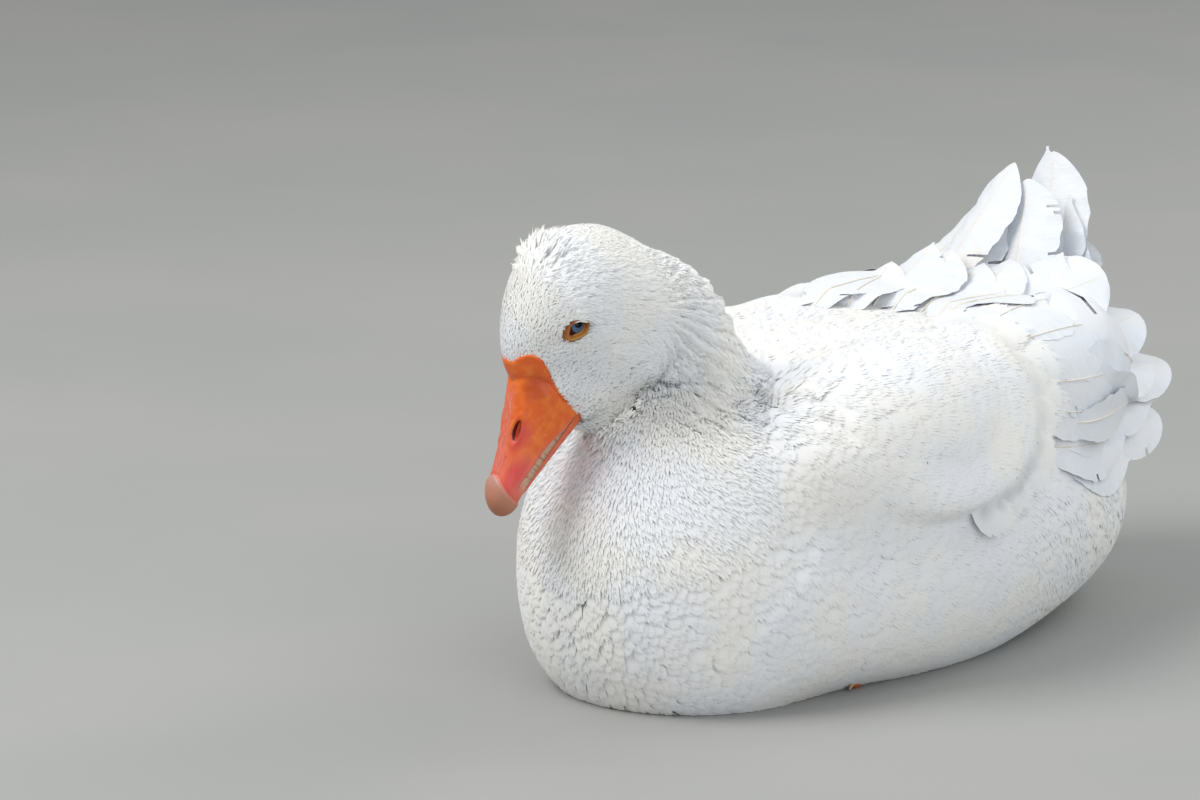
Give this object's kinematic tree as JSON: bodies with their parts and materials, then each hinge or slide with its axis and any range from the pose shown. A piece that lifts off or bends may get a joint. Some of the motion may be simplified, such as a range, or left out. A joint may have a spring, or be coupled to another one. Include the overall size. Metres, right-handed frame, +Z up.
{
  "type": "domestic goose",
  "caption": "Life-size still model of a white domestic goose resting on its belly, neck drawn back, orange bill tipped down, tail raised.",
  "frame": {"origin": "on the floor under the middle of the whole model's bounding box", "axes": "the goose faces -Y and its tail points to +Y, its left side is +X, +Z is up"},
  "size_m": [0.2374, 0.4896, 0.2487],
  "materials": {
    "plumage": "soft matt body feathers",
    "wing_feathers": "matt flight and covert feathers with cream shafts",
    "tail_feathers": "matt tail feathers with cream shafts",
    "bill": "satin orange horn, pink towards the tip",
    "bill_lower": "satin dull orange horn",
    "eye": "wet, blue iris and dark pupil",
    "leg_skin": "scaly orange skin"
  },
  "bodies": {
    "root": {"head": "plumage", "neck": "plumage", "trunk": "plumage", "wing_left": "wing_feathers", "wing_right": "wing_feathers", "tail": "tail_feathers", "bill_upper": "bill", "bill_lower": "bill_lower", "eye_left": "eye", "eye_right": "eye", "leg_left": "leg_skin", "leg_right": "leg_skin", "foot_left": "leg_skin", "foot_right": "leg_skin"}
  },
  "joints": []
}
